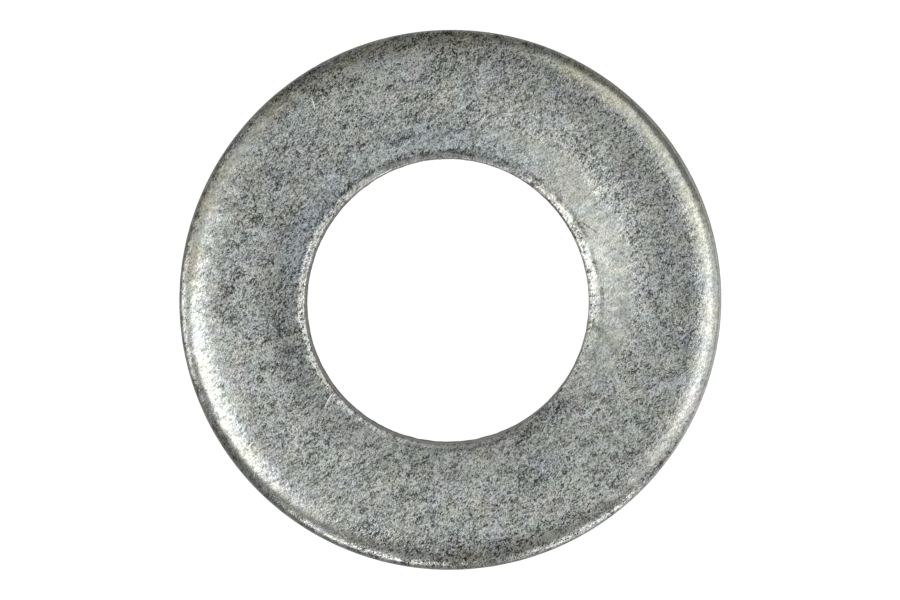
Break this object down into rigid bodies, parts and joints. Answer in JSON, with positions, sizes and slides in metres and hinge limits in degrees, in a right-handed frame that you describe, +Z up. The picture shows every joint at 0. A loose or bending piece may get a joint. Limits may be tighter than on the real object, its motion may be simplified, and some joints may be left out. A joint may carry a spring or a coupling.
{
  "type": "flat washer",
  "caption": "Plain round flat washer of zinc-plated steel with a central clearance hole, rolled over at the edges of its upper face.",
  "frame": {"origin": "centre of the bore, in the plane of the underside", "axes": "+Z up the bore from the underside to the rolled upper face; +X and +Y are any two radial directions at right angles"},
  "size_m": [0.02, 0.02, 0.002],
  "materials": {
    "zinc_plate": "zinc-plated steel, satin and finely mottled, with brighter rolled edges"
  },
  "bodies": {
    "root": {"washer": "zinc_plate"}
  },
  "joints": []
}
